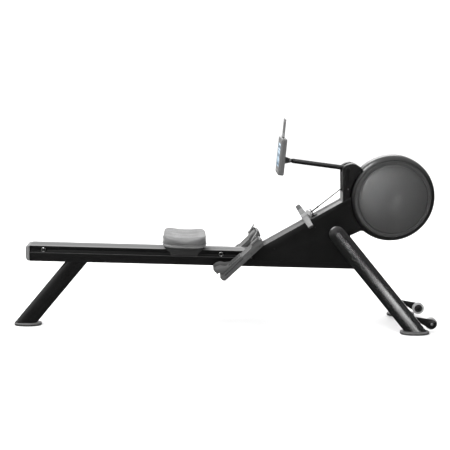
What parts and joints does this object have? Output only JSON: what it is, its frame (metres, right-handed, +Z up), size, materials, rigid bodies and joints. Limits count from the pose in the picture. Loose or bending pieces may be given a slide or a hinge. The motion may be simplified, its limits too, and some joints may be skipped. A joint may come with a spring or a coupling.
{
  "type": "rowing machine",
  "caption": "Air-resistance rowing machine: padded seat rolling on a sloping rail, footrests, pull handle on a cord, fan housing, display on an arm and splayed front legs",
  "frame": {"origin": "on the floor under the middle of the machine's length and width", "axes": "+X along the machine towards the fan, +Y to the left of a rower facing the fan, +Z up"},
  "size_m": [2.2362, 0.566, 1.1034],
  "materials": {
    "black_paint": "black powder coat",
    "rail_metal": "black anodised, with a worn running face on top",
    "cap_plastic": "moulded grey plastic",
    "foot_plate": "light grey paint",
    "foot_rubber": "ribbed rubber sole",
    "wheel_tyre": "grey tyre on a dark spoked hub",
    "shell_paint": "dark satin paint",
    "light_plastic": "light grey moulded plastic",
    "ring_plastic": "dark grey intake ring",
    "disc_metal": "satin spun metal",
    "steel": "bright steel",
    "console_plastic": "mid grey moulded plastic",
    "dark_plastic": "dark moulded plastic",
    "screen_glass": "lit display behind clear glass",
    "grip_foam": "soft light grey grip",
    "yoke_plastic": "moulded light grey",
    "cord_fibre": "braided cord",
    "footrest_plastic": "moulded grey plastic",
    "strap_webbing": "woven webbing",
    "seat_vinyl": "soft grey vinyl over foam"
  },
  "bodies": {
    "frame": {"rear_leg": "black_paint", "front_leg_left": "black_paint", "front_leg_right": "black_paint", "side_panel_left": "black_paint", "side_panel_right": "black_paint", "mast": "black_paint", "wheel_bracket_left": "black_paint", "wheel_bracket_right": "black_paint", "handle_rest": "black_paint", "rail": "rail_metal", "rail_end_cap": "cap_plastic", "rear_foot": "foot_plate", "front_foot_left": "foot_plate", "front_foot_right": "foot_plate", "rear_foot_pad": "foot_rubber", "front_foot_left_pad": "foot_rubber", "front_foot_right_pad": "foot_rubber", "rail_stop_front": "foot_rubber", "rail_stop_rear": "foot_rubber", "cord_grommet": "foot_rubber", "fan_shell_left": "shell_paint", "fan_shell_right": "shell_paint", "top_cover": "shell_paint", "cover_ring_left": "ring_plastic", "cover_ring_right": "ring_plastic", "cover_disc_left": "disc_metal", "cover_disc_right": "disc_metal", "fan_axle": "steel", "arm_pin": "steel", "foot_crossbar": "steel", "pull_cord": "cord_fibre", "inner_cord": "cord_fibre", "footrest_left": "footrest_plastic", "footrest_right": "footrest_plastic", "toe_strap_left": "strap_webbing", "toe_strap_right": "strap_webbing"},
    "seat": {"seat_pad": "seat_vinyl", "seat_base": "light_plastic", "seat_carriage": "dark_plastic"},
    "fan": {"fan_wheel": "dark_plastic"},
    "reel": {"cord_reel": "steel"},
    "guide_roller": {"guide_roller": "dark_plastic"},
    "handle": {"handle_yoke": "yoke_plastic", "handle_grip_left": "grip_foam", "handle_grip_right": "grip_foam"},
    "console_arm": {"console_arm": "black_paint"},
    "console": {"console_case": "console_plastic", "console_screen": "screen_glass", "console_bracket": "dark_plastic", "phone_holder": "console_plastic", "console_pin": "steel"},
    "console_button": {"console_button": "light_plastic"},
    "heel_slider_left": {"heel_slider_left": "footrest_plastic"},
    "heel_slider_right": {"heel_slider_right": "footrest_plastic"},
    "transport_wheel_left": {"transport_wheel_left": "wheel_tyre"},
    "transport_wheel_right": {"transport_wheel_right": "wheel_tyre"},
    "seat_roller_front_left": {"seat_roller_front_left": "dark_plastic"},
    "seat_roller_front_right": {"seat_roller_front_right": "dark_plastic"},
    "seat_roller_rear_left": {"seat_roller_rear_left": "dark_plastic"},
    "seat_roller_rear_right": {"seat_roller_rear_right": "dark_plastic"}
  },
  "joints": [
    {"name": "seat_slide", "type": "slide", "parent": "frame", "child": "seat", "axis": [0.9997, 0, -0.0251], "range_m": [-0.643, 0.105]},
    {"name": "seat_roller_front_left_spin", "type": "hinge", "parent": "seat", "child": "seat_roller_front_left", "pos_m": [-0.15001, 0.04515, 0.40136], "axis": [0, 1, 0], "range_deg": [-3210, 530]},
    {"name": "seat_roller_front_right_spin", "type": "hinge", "parent": "seat", "child": "seat_roller_front_right", "pos_m": [-0.15001, -0.04515, 0.40136], "axis": [0, 1, 0], "range_deg": [-3210, 530]},
    {"name": "seat_roller_rear_left_spin", "type": "hinge", "parent": "seat", "child": "seat_roller_rear_left", "pos_m": [-0.27397, 0.04515, 0.40448], "axis": [0, 1, 0], "range_deg": [-3210, 530]},
    {"name": "seat_roller_rear_right_spin", "type": "hinge", "parent": "seat", "child": "seat_roller_rear_right", "pos_m": [-0.27397, -0.04515, 0.40448], "axis": [0, 1, 0], "range_deg": [-3210, 530]},
    {"name": "fan_spin", "type": "hinge", "parent": "frame", "child": "fan", "pos_m": [0.8715, 0, 0.695], "axis": [0, 1, 0], "continuous": true},
    {"name": "handle_pull", "type": "slide", "parent": "frame", "child": "handle", "axis": [-0.9945, 0, 0.1045], "range_m": [0, 1.2], "stiffness_N_per_m": 10, "springref_m": -1.5, "deforming": ["pull_cord"]},
    {"name": "reel_spin", "type": "hinge", "parent": "frame", "child": "reel", "pos_m": [0.8715, 0, 0.695], "axis": [0, 1, 0], "range_deg": [-2040, 0]},
    {"name": "guide_roller_spin", "type": "hinge", "parent": "frame", "child": "guide_roller", "pos_m": [0.6358, 0, 0.7473], "axis": [0, 1, 0], "range_deg": [-5300, 0]},
    {"name": "arm_lift", "type": "hinge", "parent": "frame", "child": "console_arm", "pos_m": [0.642, 0, 0.849], "axis": [0, 1, 0], "range_deg": [0, 25]},
    {"name": "console_tilt", "type": "hinge", "parent": "console_arm", "child": "console", "pos_m": [0.334, 0, 0.889], "axis": [0, 1, 0], "range_deg": [-15, 20]},
    {"name": "console_button_press", "type": "slide", "parent": "console", "child": "console_button", "axis": [0.9966, 0, -0.0819], "range_m": [0, 0.0012], "stiffness_N_per_m": 600},
    {"name": "heel_slide_left", "type": "slide", "parent": "frame", "child": "heel_slider_left", "axis": [0.7193, 0, 0.6947], "range_m": [0, 0.055]},
    {"name": "heel_slide_right", "type": "slide", "parent": "frame", "child": "heel_slider_right", "axis": [0.7193, 0, 0.6947], "range_m": [0, 0.055]},
    {"name": "transport_wheel_left_spin", "type": "hinge", "parent": "frame", "child": "transport_wheel_left", "pos_m": [1.0862, 0.134, 0.047], "axis": [0, 1, 0], "continuous": true},
    {"name": "transport_wheel_right_spin", "type": "hinge", "parent": "frame", "child": "transport_wheel_right", "pos_m": [1.0862, -0.134, 0.047], "axis": [0, 1, 0], "continuous": true}
  ],
  "couplings": [
    {"joint": "seat_roller_front_left_spin", "follows": "seat_slide", "rad_per_m": 86.957},
    {"joint": "seat_roller_front_right_spin", "follows": "seat_slide", "rad_per_m": 86.957},
    {"joint": "seat_roller_rear_left_spin", "follows": "seat_slide", "rad_per_m": 86.957},
    {"joint": "seat_roller_rear_right_spin", "follows": "seat_slide", "rad_per_m": 86.957},
    {"joint": "reel_spin", "follows": "handle_pull", "rad_per_m": -29.431},
    {"joint": "guide_roller_spin", "follows": "handle_pull", "rad_per_m": -76.52}
  ]
}
